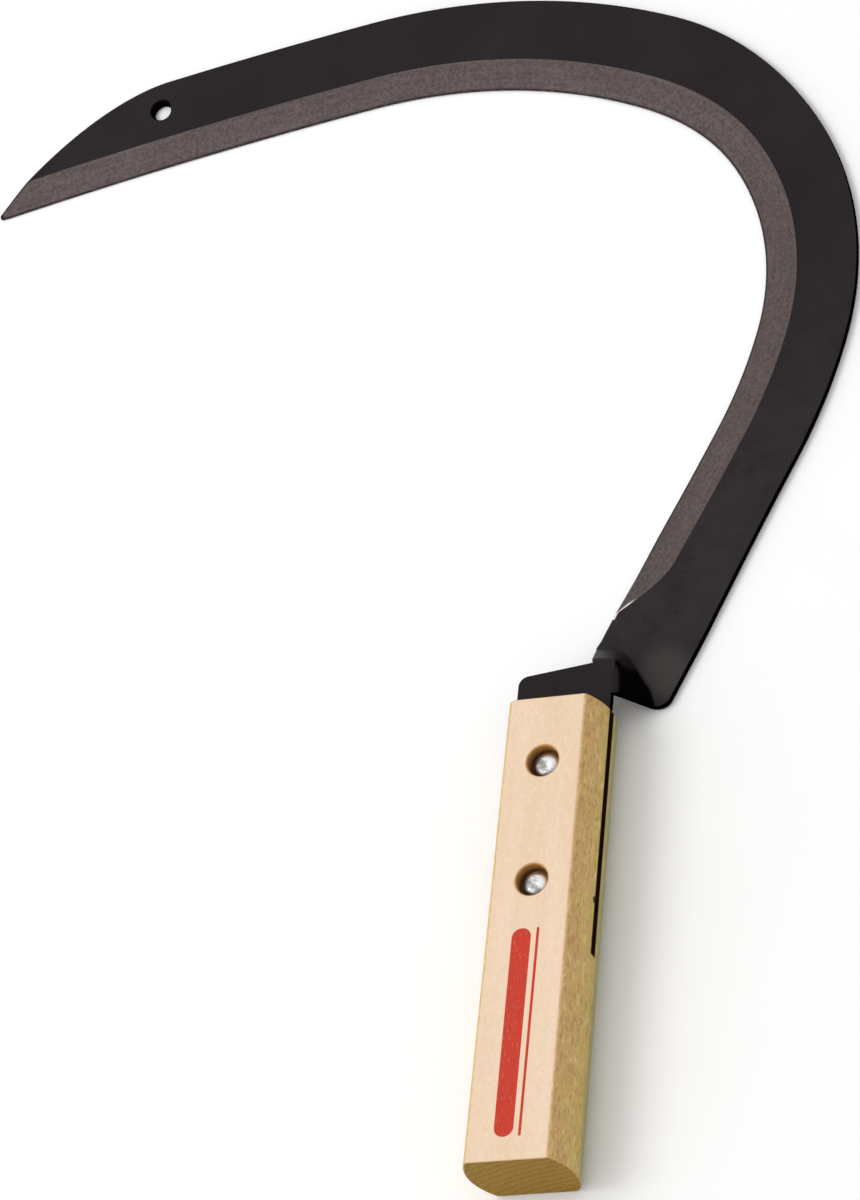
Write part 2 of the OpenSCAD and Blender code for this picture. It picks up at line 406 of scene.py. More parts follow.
    def finish(self, **inputs):
        """Feeds the shader's inputs by short names, and gives the material."""
        names = {"color": "Base Color", "rough": "Roughness", "metal": "Metallic", "normal": "Normal",
                 "coat": "Coat Weight", "coat_rough": "Coat Roughness", "specular": "Specular IOR Level"}
        for key, value in inputs.items():
            self.feed(self.bsdf.inputs[names[key]], value)
        return self.material


def enamel_material():
    """Black enamel on sheet steel: warm near-black with orange peel, dull patches and worn edges; painted
    shade, near-black and without shine, on the steep faces towards the heel and the butt and in a ring
    round the hole; lighter patches of dust and painted light on the lower arm; a painted highlight past
    the joggle's foot."""
    n = Nodes("blade_enamel")
    cloud = n.noise(n.per_mm(0.03, 0.03, 0.03), 4.0, 0.6)
    grain = n.noise(n.per_mm(1.6, 1.6, 1.6), 3.0, 0.65)
    fine = n.noise(n.per_mm(6.0, 6.0, 6.0), 2.0, 0.6)
    rubbed = n.noise(n.per_mm(0.12, 0.12, 0.12), 5.0, 0.7)
    x, y, _ = n.place()
    black, faded, shade_black = (0.0118, 0.0085, 0.0094), (0.0160, 0.0120, 0.0130), (0.0012, 0.0010, 0.0010)
    speck, dust_and_light_grey, highlight_grey = (0.0230, 0.0180, 0.0190), (0.0285, 0.0225, 0.0230), (0.0500, 0.0420, 0.0410)
    rubbed_bare = (0.070, 0.060, 0.058)

    base = n.mix(n.smooth(cloud, 0.35, 0.68), black, faded)
    # lighter in patches on the lower arm: dust and painted light
    dust_and_light = n.math("MULTIPLY", n.smooth(y, 270.0, 140.0), n.smooth(rubbed, 0.20, 0.65))
    dust_and_light = n.math("MULTIPLY", dust_and_light, n.smooth(y, 92.0, 108.0))
    base = n.mix(n.math("MULTIPLY", dust_and_light, 0.75), base, dust_and_light_grey)
    # a painted highlight past the joggle's foot
    halo = n.near(x, y, HIGHLIGHT_SPOT, 4.0, 13.0)
    base = n.mix(n.math("MULTIPLY", halo, 0.85), base, highlight_grey)
    base = n.mix(n.math("MULTIPLY", n.smooth(grain, 0.42, 0.75), 0.45), base, speck)
    worn = n.math("MULTIPLY", n.edges(0.5), n.smooth(rubbed, 0.42, 0.66))
    base = n.mix(n.math("MULTIPLY", worn, 0.40), base, rubbed_bare)

    # painted shade: the steep faces towards the heel and the butt, and a ring round the hole, are painted
    # near-black and lose their shine
    upright = n.smooth(n.math("ABSOLUTE", n.axis(n.normal(), 2)), 0.92, 0.62)
    heelward = n.math("SUBTRACT", n.axis(n.normal(), 0), n.axis(n.normal(), 1))
    upright = n.math("MULTIPLY", upright, n.smooth(heelward, 0.0, 0.5))
    ring = n.near(x, y, HOLE_SHADE_AT, HOLE_R + 0.25, HOLE_R + 1.3)
    painted_shade = n.math("MAXIMUM", upright, ring)
    base = n.mix(n.math("MULTIPLY", painted_shade, 0.96), base, shade_black)
    rough = n.blend_value(n.smooth(rubbed, 0.3, 0.75), 0.46, 0.62)
    rough = n.math("ADD", rough, n.math("MULTIPLY", n.math("SUBTRACT", fine, 0.5), 0.12))
    peel = n.bump(grain, 0.22, 0.05)
    peel = n.bump(fine, 0.16, 0.02, peel)
    return n.finish(color=base, rough=rough, specular=n.blend_value(painted_shade, 0.10, 0.0), normal=peel)


def ground_material():
    """The ground bevel: grey-brown bare steel, mottled by the wheel with faint lengthwise streaks,
    darker at the very edge, with a painted glint where the grinding ends."""
    n = Nodes("blade_ground")
    across = n.attribute("across")
    speck = n.noise(n.per_mm(0.85, 0.85, 0.85), 4.0, 0.68)
    grit = n.noise(n.per_mm(3.4, 3.4, 3.4), 3.0, 0.7)
    patch = n.noise(n.per_mm(0.10, 0.10, 0.10), 4.0, 0.65)
    brown, grey, pale = (0.064, 0.0485, 0.0460), (0.112, 0.0890, 0.0850), (0.175, 0.143, 0.136)
    burnt, scored, black, bright = ((0.070, 0.053, 0.051), (0.150, 0.122, 0.116),
                                    (0.016, 0.012, 0.012), (0.720, 0.660, 0.630))

    base = n.mix(n.smooth(speck, 0.30, 0.70), brown, grey)
    base = n.mix(n.math("MULTIPLY", n.smooth(grit, 0.45, 0.75), 0.28), base, pale)
    base = n.mix(n.math("MULTIPLY", n.smooth(patch, 0.4, 0.7), 0.35), base, burnt)
    lengthwise = n.axis(n.per_mm(0.02, 0.02, 0.02), 0)
    streak = n.noise(n.combine(n.math("MULTIPLY", across, 9.0), lengthwise, 0.0), 3.0, 0.6)
    base = n.mix(n.math("MULTIPLY", n.smooth(streak, 0.45, 0.7), 0.30), base, scored)
    burr = n.math("MULTIPLY", n.smooth(across, 0.085, 0.035), n.smooth(speck, 0.36, 0.50))
    base = n.mix(n.math("MULTIPLY", burr, 0.90), base, black)
    # a painted glint: a bright line along the end of the bevel
    line = n.math("MULTIPLY", n.smooth(across, 0.45, 0.85), n.attribute("glint"))
    line = n.math("MULTIPLY", n.smooth(line, 0.25, 0.65), n.smooth(grit, 0.22, 0.42))
    base = n.mix(line, base, bright)
    rough = n.blend_value(n.smooth(speck, 0.35, 0.7), 0.60, 0.46)
    texture = n.bump(speck, 0.35, 0.05)
    texture = n.bump(grit, 0.30, 0.03, texture)
    return n.finish(color=base, metal=0.6, rough=rough, specular=0.2, normal=texture)


def wood_material():
    """Varnished beech: pale front and back, golden sides with ray flecks and a painted green reflection
    low on the right, brown end grain, painted shade in the saw kerf and the counterbores, a dark chip
    beside the kerf, one plain red printed bar with a pin line beside it."""
    n = Nodes("handle_beech")
    facing = n.normal()
    out_x = n.math("ABSOLUTE", n.axis(facing, 0))
    out_y = n.math("ABSOLUTE", n.axis(facing, 1))
    x, y, z = n.place()
    tone = n.noise(n.per_mm(0.09, 0.012, 0.09), 3.0, 0.5, 0.4)
    fibre = n.noise(n.per_mm(2.6, 0.055, 2.6), 4.0, 0.62)
    pore = n.noise(n.per_mm(5.5, 0.42, 5.5), 2.0, 0.55)
    mottle = n.noise(n.per_mm(0.95, 0.60, 0.95), 3.0, 0.62)
    cloud = n.noise(n.per_mm(0.42, 0.20, 0.42), 3.0, 0.6)
    uneven = n.math("MULTIPLY", n.math("SUBTRACT", mottle, 0.5), 0.7)
    side = n.smooth(n.math("ADD", out_x, uneven), 0.06, 0.78)
    end = n.smooth(out_y, 0.45, 0.85)
    arris = n.math("MAXIMUM", n.math("MULTIPLY", n.smooth(out_x, 0.10, 0.35), n.smooth(out_x, 0.82, 0.55)),
                   n.math("MULTIPLY", n.smooth(out_y, 0.15, 0.45), n.smooth(out_y, 0.97, 0.75)))
    ray = n.noise(n.per_mm(1.7, 0.36, 0.75), 2.0, 0.5)
    ray_fine = n.noise(n.per_mm(4.5, 0.9, 2.0), 1.0, 0.4)

    def layered(base, layers):
        """Lays one colour over another: each where its texture passes from low to high, up to a share."""
        for texture, low, high, share, colour in layers:
            base = n.mix(n.math("MULTIPLY", n.smooth(texture, low, high), share), base, colour)
        return base

    front = n.mix(n.smooth(tone, 0.3, 0.7), (0.745, 0.545, 0.372), (0.790, 0.598, 0.432))
    front = layered(front, ((fibre, 0.45, 0.75, 0.25, (0.700, 0.485, 0.310)),
                            (pore, 0.62, 0.76, 0.25, (0.560, 0.350, 0.190)),
                            (mottle, 0.50, 0.72, 0.42, (0.850, 0.690, 0.540)),
                            (mottle, 0.46, 0.28, 0.42, (0.690, 0.470, 0.320))))
    flank = n.mix(n.smooth(z, 23.0, 15.0), (0.610, 0.375, 0.125), (0.570, 0.395, 0.085))
    flank = layered(flank, ((cloud, 0.52, 0.72, 0.65, (0.780, 0.590, 0.200)),
                            (cloud, 0.48, 0.28, 0.55, (0.450, 0.275, 0.065)),
                            (mottle, 0.52, 0.72, 0.40, (0.830, 0.640, 0.270)),
                            (ray, 0.52, 0.66, 0.55, (0.380, 0.190, 0.045)),
                            (ray_fine, 0.56, 0.70, 0.20, (0.340, 0.170, 0.040))))
    # a painted green reflection on the lower part of the right side
    green_bounce = n.math("MULTIPLY", n.smooth(z, MID_Z, MID_Z - 5.0), n.smooth(x, 0.0, 12.0))
    flank = n.mix(n.math("MULTIPLY", green_bounce, 0.60), flank, (0.215, 0.255, 0.060))

    # growth rings about the heart of the tree, which lies outside the handle
    from_heart = n.reach(n.math("SUBTRACT", x, HEART[0]), n.math("SUBTRACT", z, HEART[1]))
    wavy = n.math("ADD", n.math("MULTIPLY", from_heart, RING_RATE),
                  n.math("MULTIPLY", cloud, 9.0))
    rings = n.math("MULTIPLY", n.math("ADD", n.math("SINE", wavy), 1.0), 0.5)
    dots = n.noise(n.per_mm(3.2, 3.2, 3.2), 2.0, 0.6)
    grain = n.mix(rings, (0.280, 0.155, 0.020), (0.350, 0.205, 0.034))
    grain = n.mix(n.math("MULTIPLY", n.smooth(dots, 0.5, 0.72), 0.6), grain, (0.170, 0.085, 0.012))

    base = n.mix(side, front, flank)
    base = n.mix(end, base, grain)
    edge = n.math("MULTIPLY", arris, n.smooth(mottle, 0.40, 0.62))
    base = n.mix(n.math("MULTIPLY", edge, 0.60), base, (0.600, 0.340, 0.130))

    # painted shade in the saw kerf and inside the counterbores, darker with depth there, a dark chip
    # beside the kerf, and brown counterbore rims
    off_middle = n.math("ABSOLUTE", n.math("SUBTRACT", z, MID_Z))
    kerf = n.math("MULTIPLY", n.smooth(off_middle, KERF_W / 2 + 0.65, KERF_W / 2 + 0.30),
                  n.smooth(y, TOP_Y - KERF_LEN - 0.7, TOP_Y - KERF_LEN - 0.2))
    chip = n.math("MULTIPLY", n.near(y, z, CHIP_AT, 0.9, 1.8), n.smooth(x, 10.0, 14.0))
    # painted shade in the saw kerf, and the dark chip beside it
    base = n.mix(n.math("MAXIMUM", kerf, chip), base, (0.022, 0.010, 0.003))
    depth = n.math("SUBTRACT", MID_Z, off_middle)
    centres = [(0.0, at) for at in RIVETS.values()]
    bore = n.math("MAXIMUM", *[n.near(x, y, at, BORE_R + 0.2, BORE_R + 0.8) for at in centres])
    base = n.mix(n.math("MULTIPLY", bore, 0.60), base, (0.600, 0.300, 0.095))
    # painted shade inside the counterbores, darker with depth
    inside = n.math("MAXIMUM", *[n.near(x, y, at, BORE_R + 0.05, BORE_R + 0.3) for at in centres])
    bore_shade = n.math("MULTIPLY", inside, n.smooth(depth, 0.4, 4.2))
    base = n.mix(n.math("MULTIPLY", bore_shade, 0.90), base, (0.150, 0.060, 0.018))

    def past(value, centre, half):
        """How far value lies outside a span about a centre, 0 inside it."""
        away = n.math("ABSOLUTE", n.math("SUBTRACT", value, centre))
        return n.math("MAXIMUM", n.math("SUBTRACT", away, half), 0.0)

    def bar(centre_x, half_x, corner):
        """1 inside a bar with rounded corners that runs along the handle, 0 outside it."""
        over_x = past(x, centre_x, half_x - corner)
        over_y = past(y, PRINT_Y, PRINT_HALF_LEN - corner)
        return n.smooth(n.reach(over_x, over_y), corner + 0.08, corner - 0.08)

    # the printed bar and pin line, with gaps in the ink where the grain is open
    ink = n.math("MAXIMUM", bar(*BAR), bar(*PIN_LINE))
    ink = n.math("MULTIPLY", ink, n.smooth(z, HANDLE_DEPTH - 0.3, HANDLE_DEPTH - 0.1))
    gaps = n.math("MULTIPLY", n.smooth(pore, 0.6, 0.74), 0.4)
    ink = n.math("MULTIPLY", ink, n.math("SUBTRACT", 1.0, gaps))
    red = n.mix(n.smooth(fibre, 0.4, 0.7), (0.540, 0.022, 0.010), (0.490, 0.034, 0.018))
    base = n.mix(n.math("MULTIPLY", ink, 0.96), base, red)

    pits = n.math("MAXIMUM", n.math("MAXIMUM", kerf, chip), bore_shade)
    dull = n.math("MAXIMUM", n.math("MAXIMUM", end, ink), pits)
    rough = n.blend_value(side, 0.52, 0.44)
    rough = n.math("ADD", rough, n.math("MULTIPLY", n.math("SUBTRACT", fibre, 0.5), 0.25))
    surface = n.bump(fibre, 0.20, 0.05)
    surface = n.bump(pore, 0.25, 0.04, surface)
    surface = n.bump(ink, 0.3, 0.02, surface)
    return n.finish(color=base, rough=rough, specular=n.blend_value(dull, 0.35, 0.06),
                    coat=n.blend_value(dull, 0.12, 0.0), coat_rough=0.35, normal=surface)


def steel_material(name, colour, roughness, dents):
    """Bare steel with small dents, fine scratches and, on each piece, patchy stains and painted shade on
    its lower left, towards the butt.
    """
    n = Nodes(name)
    x, y, _ = n.place()
    pitch = RIVETS["upper"] - RIVETS["lower"]
    from_lower = n.math("SUBTRACT", y, RIVETS["lower"])
    along = n.math("FLOORED_MODULO", n.math("ADD", from_lower, pitch / 2), pitch)
    # painted shade: each piece is darker towards its lower left, mixed with patchy stains
    below = n.math("MULTIPLY", n.math("SUBTRACT", pitch / 2, n.math("ADD", along, x)), 0.7)
    dent = n.noise(n.per_mm(0.55, 0.55, 0.55), 2.0, 0.5)
    scratch = n.noise(n.per_mm(9.0, 1.2, 4.0), 3.0, 0.6)
    stain = n.noise(n.per_mm(0.48, 0.48, 0.48), 4.0, 0.6)
    dull = tuple(c * 0.32 for c in colour)
    patchy = n.math("MULTIPLY", n.math("SUBTRACT", stain, 0.5), 2.2)
    shade_and_stain = n.math("ADD", n.smooth(below, -2.6, 2.4), patchy)
    base = n.mix(n.smooth(shade_and_stain, 0.10, 0.90), colour, dull)
    base = n.mix(n.math("MULTIPLY", n.smooth(scratch, 0.5, 0.7), 0.25), base, (0.30, 0.29, 0.28))
    rough = n.blend_value(n.smooth(stain, 0.35, 0.7), roughness, roughness + 0.16)
    surface = n.bump(dent, dents, 0.35)
    surface = n.bump(scratch, 0.12, 0.02, surface)
    return n.finish(color=base, metal=1.0, rough=rough, normal=surface)


# ---------------------------------------------------------------- the blade: one bent, ground sheet
class Sheet:
    """A sheet laid out as one layer of faces. Each point has a place on the upper skin, one on the
    lower skin, the radius of its cut edge if it lies on one, how far it lies across the bevel, and
    how near it lies to the end of the bevel, where a glint is painted."""

    def __init__(self):
        self.top, self.low, self.radius, self.faces, self.tags = [], [], [], [], []
        self.layers = {"across": [], "glint": []}

    def point(self, top, low, radius=EDGE_R, across=1.0, glint=0.0):
        self.top.append(Vector(top))
        self.low.append(Vector(low))
        self.radius.append(radius)
        self.layers["across"].append(across)
        self.layers["glint"].append(glint)
        return len(self.top) - 1

    def flat(self, x, y, z, radius=EDGE_R):
        return self.point((x, y, z + SHEET_T), (x, y, z), radius)

    def face(self, points, tag=0):
        self.faces.append(tuple(points))
        self.tags.append(tag)

    def build(self, title, materials):
        """Closes the layer into a solid whose cut edges are rounded."""
        count = len(self.top)
        verts = list(self.top) + list(self.low)
        layers = {name: values * 2 for name, values in self.layers.items()}
        faces = list(self.faces) + [tuple(p + count for p in reversed(f)) for f in self.faces]
        tags = list(self.tags) + [0] * len(self.faces)
        directed = {}
        for face, tag in zip(self.faces, self.tags):
            for a, b in zip(face, face[1:] + face[:1]):
                directed[(a, b)] = tag
        after = {a: b for a, b in directed if (b, a) not in directed}
        before = {b: a for a, b in after.items()}
        walls = {}
        for p in after:
            tangent = (self.top[after[p]] - self.top[before[p]]).normalized()
            up = (self.top[p] - self.low[p]).normalized()
            out = tangent.cross(up).normalized()
            r = min(self.radius[p], 0.49 * (self.top[p] - self.low[p]).length)
            wall = [p]
            for corner, sign, angles in ((self.top[p], -1, (30, 60, 90)), (self.low[p], 1, (90, 60, 30))):
                for a in map(math.radians, angles):
                    wall.append(len(verts))
                    verts.append(corner + out * r * math.sin(a) + sign * up * r * (1 - math.cos(a)))
                    for name, values in layers.items():
                        values.append(self.layers[name][p])
            walls[p] = wall + [p + count]
        for a, b in after.items():
            for (a0, a1), (b0, b1) in zip(zip(walls[a], walls[a][1:]), zip(walls[b], walls[b][1:])):
                faces.append((a0, a1, b1, b0))
                tags.append(directed[(a, b)])
        obj = make_object(title, verts, faces, materials, tags)
        for name, values in layers.items():
            obj.data.attributes.new(name, "FLOAT", "POINT").data.foreach_set("value", values)
        return obj


def smooth_rows(points, per_gap=4):
    """Catmull-Rom points through a list of points, with per_gap steps in each gap."""
    rows = []
    for i in range(len(points) - 1):
        p0, p1 = Vector(points[max(i - 1, 0)]), Vector(points[i])
        p2, p3 = Vector(points[i + 1]), Vector(points[min(i + 2, len(points) - 1)])
        for k in range(per_gap):
            t = k / per_gap
            rows.append(0.5 * (2 * p1 + (p2 - p0) * t + (2 * p0 - 5 * p1 + 4 * p2 - p3) * t * t
                               + (3 * p1 - p0 - 3 * p2 + p3) * t * t * t))
    return rows + [Vector(points[-1])]


def joggle_row(sheet, crest, foot, foot_r):
    """Points across the joggle: the bend down from the tang, the ramp, and the bend out to the heel."""
    run = (foot - crest).length
    way = (foot - crest) / run
    drop = math.atan2(TANG_Z, run)
    high, low = TANG_Z + SHEET_T / 2, SHEET_T / 2
    lead, tail = CREST_R * math.tan(drop / 2), foot_r * math.tan(drop / 2)
    row = []
    for k in range(BEND_STEPS + 1):
        a = drop * k / BEND_STEPS
        row.append((-lead + CREST_R * math.sin(a), high - CREST_R * (1 - math.cos(a)), a))
    for k in range(BEND_STEPS, -1, -1):
        a = drop * k / BEND_STEPS
        row.append((run + tail - foot_r * math.sin(a), low + foot_r * (1 - math.cos(a)), a))
    made = []
    for h, z, a in row:
        skin = Vector((way.x * math.sin(a), way.y * math.sin(a), math.cos(a))) * SHEET_T / 2
        mid = Vector((crest.x + way.x * h, crest.y + way.y * h, z))
        made.append(sheet.point(mid + skin, mid - skin))
    return made


def foot_radius(u):
    """The radius of the joggle's foot at u, from 0 at the inner edge to 1 at the heel: it opens up over
    most of the way and closes again at the end, where it meets the heel's rounded corner."""
    opening = ease(1.6 * u - 0.35)
    closing = 0.78 * ease(4.4 * (u - 0.78))
    return FOOT_R[0] + (FOOT_R[1] - FOOT_R[0]) * opening * (1 - closing)


def blade_row(sheet, s, skew):
    """Points across the blade, from the cutting edge to the spine."""
    start, w = blade_span(s)
    b = bevel_at(s)
    slope = (SHEET_T - EDGE_T) / BEVEL_W
    drawn_in = edge_inset(s) + start
    edge_thick = SHEET_T - slope * max(0.0, b - drawn_in)
    inner_r = min(EDGE_R, 0.45 * edge_thick, 0.2 * (w - start))
    outer_r = min(EDGE_R, 0.2 * (w - start))
    inner, outer = drawn_in + inner_r, w - outer_r
    crease = min(max(b, inner + 0.4), outer - 0.4 * min(1.0, (w - start) / 3))
    crease = max(crease, inner + 0.05)
    cols = [inner + (crease - inner) * k / BEVEL_COLS for k in range(BEVEL_COLS + 1)]
    soft = min(0.35, 0.2 * (outer - crease))
    cols += [crease + soft + (outer - crease - soft) * k / FLAT_COLS for k in range(FLAT_COLS + 1)]
    glint = 1 - ease((s - RUNOUT_FROM) / GLINT_LEN)
    made = []
    for i, e in enumerate(cols):
        x, y = on_blade(s + skew * e / w, e)
        z = SHEET_T - slope * max(0.0, b - e)
        across = min((e - drawn_in) / max(b - drawn_in, 0.5), 1.0)
        made.append(sheet.point((x, y, z), (x, y, 0.0), inner_r if i == 0 else outer_r, across, glint))
    return made


def lay_joggle(sheet):
    """The joggle's faces. Gives its rows of points, from the inner edge to the heel."""
    crest = smooth_rows([(x, y + TOP_Y) for x, y in CREST])
    foot = smooth_rows([(x, y + TOP_Y) for x, y in FOOT])
    grid = []
    for i, (c, f) in enumerate(zip(crest, foot)):
        grid.append(joggle_row(sheet, c, f, foot_radius(i / (len(foot) - 1))))
    for a, b in zip(grid, grid[1:]):
        for j in range(len(a) - 1):
            sheet.face((a[j], b[j], b[j + 1], a[j + 1]))
    return grid


def lay_tang(sheet, grid):
    """The flat tang, up to the joggle's crest, a little narrower inside the kerf than outside it."""
    tuck, ramp = 0.5, 0.6
    half, inside, r = TANG_HALF - EDGE_R, TANG_HALF - tuck - EDGE_R, TANG_CORNER_R - EDGE_R
    outline = ([(half, TOP_Y + ramp), (inside, TOP_Y - ramp)]
               + arc(inside - r, TANG_END_Y + TANG_CORNER_R, r, 0, -90)
               + arc(r - inside, TANG_END_Y + TANG_CORNER_R, r, -90, -180)
               + [(-inside, TOP_Y - ramp), (-half, TOP_Y + ramp)]
               + arc(SHOULDER_R - TANG_HALF, SHOULDER_Y - SHOULDER_R, SHOULDER_R - EDGE_R, 180, 97))
    tang = [sheet.flat(x, y, TANG_Z) for x, y in outline]
    tang += [row[0] for row in grid]
    tang.append(sheet.flat(half, HEEL_Y + EDGE_R, TANG_Z))
    sheet.face(reversed(tang))


def lay_hook(sheet):
    """The hook's faces, from the heel to the point. Gives its first row of points. The rows start
    slanted, so that they clear the joggle's foot, and soon stand square."""
    stations, s = [], ROWS_FROM
    while s < BLADE_LEN - TAPER_LEN:
        stations.append(s)
        s += FINE_STEP if s < RUNOUT_FROM + BEVEL_RUNOUT else COARSE_STEP
    stations += [BLADE_LEN - TAPER_LEN * (1 - k / TAPER_ROWS) for k in range(TAPER_ROWS)]
    stations += [TIP_S + TIP_R * math.sin(math.radians(a)) for a in TIP_ANGLES]
    rows = [blade_row(sheet, s, ROW_SLANT * (1 - ease((s - ROWS_FROM) / SLANT_LEN))) for s in stations]
    for s, a, b in zip(stations, rows, rows[1:]):
        for j in range(len(a) - 1):
            on_bevel = j < BEVEL_COLS and s >= RUNOUT_FROM
            sheet.face((a[j], a[j + 1], b[j + 1], b[j]), 1 if on_bevel else 0)
    return rows[0]


def lay_heel(sheet, grid, first_row):
    """The flat heel, between the joggle's foot, the heel's rounded corner and the first row."""
    outer = on_blade(0, HEEL_W)
    corner_x = outer[0] - (outer[1] - HEEL_Y) / math.tan(math.radians(ARM_ANGLE))
    corner_x -= HEEL_R * math.tan(math.radians(ARM_ANGLE) / 2)
    heel = [row[-1] for row in grid]
    heel += [sheet.flat(x, y, 0) for x, y in arc(corner_x, HEEL_Y + HEEL_R, HEEL_R - EDGE_R,
                                                 -90, ARM_ANGLE - 90)]
    heel += [sheet.flat(*on_blade(s, blade_width(s) - EDGE_R), 0) for s in (0.0, 3.0)]
    heel += list(reversed(first_row))
    sheet.face(heel)


def drill_blade(obj, enamel):
    """The hanging hole, with its rims rounded off by paint, and the two rivet holes in the tang."""
    low_rim, high_rim = 0.2, 0.7
    profile = [(0, -OUT), (HOLE_R + low_rim + OUT, -OUT), (HOLE_R, low_rim), (HOLE_R, SHEET_T - high_rim),
               (HOLE_R + high_rim + OUT, SHEET_T + OUT), (0, SHEET_T + OUT)]
    cut(obj, [lathe("hole_cutter", profile, (*HOLE_AT, 0), [enamel], steps=48)])
    r, low, high = SHANK_R + 0.2, TANG_Z - OUT, TANG_Z + SHEET_T + OUT
    profile = [(0, low), (r, low), (r, high), (0, high)]
    for y in RIVETS.values():
        cut(obj, [lathe("rivet_hole_cutter", profile, (0, y, 0), [enamel], steps=32)])


def make_blade(enamel, ground):
    sheet = Sheet()
    grid = lay_joggle(sheet)
    lay_tang(sheet, grid)
    first_row = lay_hook(sheet)
    lay_heel(sheet, grid, first_row)
    obj = sheet.build("sickle_blade", [enamel, ground])
    drill_blade(obj, enamel)
    soften(obj, sharp=30)
    weigh_normals(obj)
    return obj


# ---------------------------------------------------------------- the handle
def rounded(points, radii):
    """A closed outline with the corners whose radius isn't 0 rounded off."""
    made = []
    for i, (p, r) in enumerate(zip(points, radii)):
        if r <= 0:
            made.append(Vector(p))
            continue
        p, a, b = Vector(p), Vector(points[i - 1]), Vector(points[(i + 1) % len(points)])
        u, v = (a - p).normalized(), (b - p).normalized()
        half = math.acos(max(-1.0, min(1.0, u.dot(v)))) / 2
        reach = r / math.tan(half)
        centre = p + (u + v).normalized() * (r / math.sin(half))
        start, end = p + u * reach - centre, p + v * reach - centre
        turn = start.angle_signed(end)
        for k in range(6):
            a = -turn * k / 5
            made.append(centre + Vector((start.x * math.cos(a) - start.y * math.sin(a),
                                         start.x * math.sin(a) + start.y * math.cos(a))))
    return made


def handle_outline(y, inset):
    """The handle's cross-section at y, drawn in by inset: flats joined by bulged sides."""
    u = (y + TOP_Y) / HANDLE_LEN
    flat = FACE_HALF[0] + (FACE_HALF[1] - FACE_HALF[0]) * u - inset
    wide = SIDE_HALF[0] + (SIDE_HALF[1] - SIDE_HALF[0]) * u - inset
    low, high = inset, HANDLE_DEPTH - inset
    mid, reach = (low + high) / 2, (high - low) / 2
    bulge = wide - flat
    side_r = (reach ** 2 + bulge ** 2) / (2 * bulge)
    lean = math.asin(reach / side_r)
    parts = 12
    points, radii = [], []
    for sign in (1, -1):
        for k in range(parts + 1):
            a = sign * lean * (-1 + 2 * k / parts)
            points.append((sign * (wide - side_r + side_r * math.cos(a)), mid + side_r * math.sin(a)))
            at_end = k in (0, parts)
            back = (k == 0) == (sign == 1)
            arris = BACK_ARRIS_R if back else FRONT_ARRIS_R
            radii.append(arris if at_end else 0.0)
    return rounded(points, radii)


def handle_blank(wood):
    """The handle before it is cut: rounded at its edges and at both ends."""
    stations = []
    for y, direction, r in ((-TOP_Y, 1, BUTT_R), (TOP_Y, -1, TOP_R)):
        ends = [(y + direction * r * (1 - math.sin(a)), r * (1 - math.cos(a)))
                for a in (math.radians(d) for d in (90, 67, 45, 22, 0))]
        stations.append(ends)
    lengths = 16
    middle = [(-TOP_Y + HANDLE_LEN * k / lengths, 0.0) for k in range(1, lengths)]
    loops = stations[0] + middle + stations[1][::-1]
    verts, faces, count = [], [], 0
    for y, inset in loops:
        outline = handle_outline(y, inset)
        count = len(outline)
        verts += [(p.x, y, p.y) for p in outline]
    for i in range(len(loops) - 1):
        for j in range(count):
            k = (j + 1) % count
            faces.append((i * count + j, i * count + k, (i + 1) * count + k, (i + 1) * count + j))
    faces.append(tuple(range(count)))
    faces.append(tuple((len(loops) - 1) * count + j for j in reversed(range(count))))
    return make_object("sickle_handle", verts, faces, [wood])


def kerf_cutter(wood):
    low, high, wide = MID_Z - KERF_W / 2, MID_Z + KERF_W / 2, 40.0
    start, end = TOP_Y - KERF_LEN, TOP_Y + 5.0
    box = [(x, y, z) for x in (-wide, wide) for y in (start, end) for z in (low, high)]
    sides = [(0, 1, 3, 2), (4, 6, 7, 5), (0, 4, 5, 1), (2, 3, 7, 6), (0, 2, 6, 4), (1, 5, 7, 3)]
    return make_object("kerf_cutter", box, sides, [wood])


def bore_cutter(wood, y):
    """A shank hole with a counterbore at each end, whose rims are broken by a chamfer."""
    shank = SHANK_R + 0.1
    low_half = [(0, -OUT), (BORE_R + BORE_RIM + OUT, -OUT), (BORE_R, BORE_RIM), (BORE_R, BORE_DEPTH),
                (shank, BORE_DEPTH)]
    profile = low_half + [(r, HANDLE_DEPTH - z) for r, z in reversed(low_half)]
    return lathe("bore_cutter", profile, (0, y, 0), [wood])


def make_handle(wood):
    obj = handle_blank(wood)
    cut(obj, [kerf_cutter(wood)] + [bore_cutter(wood, y) for y in RIVETS.values()])
    soften(obj, sharp=34)
    weigh_normals(obj)
    return obj


# ---------------------------------------------------------------- rivets and burrs
def dome(r, h, steps=8):
    """The profile of a dome of radius r and height h, from its flattened crown to its rounded rim."""
    flatness, fall, last_angle, rim = 3.6, 0.6, 84, 0.12
    points = [(0.0, h)]
    for k in range(1, steps + 1):
        a = math.radians(last_angle) * k / steps
        points.append((r * math.sin(a), h * (1 - math.sin(a) ** flatness) ** fall))
    return points + [(r, rim), (r - rim / 4, rim / 4), (r - rim, 0.0)]


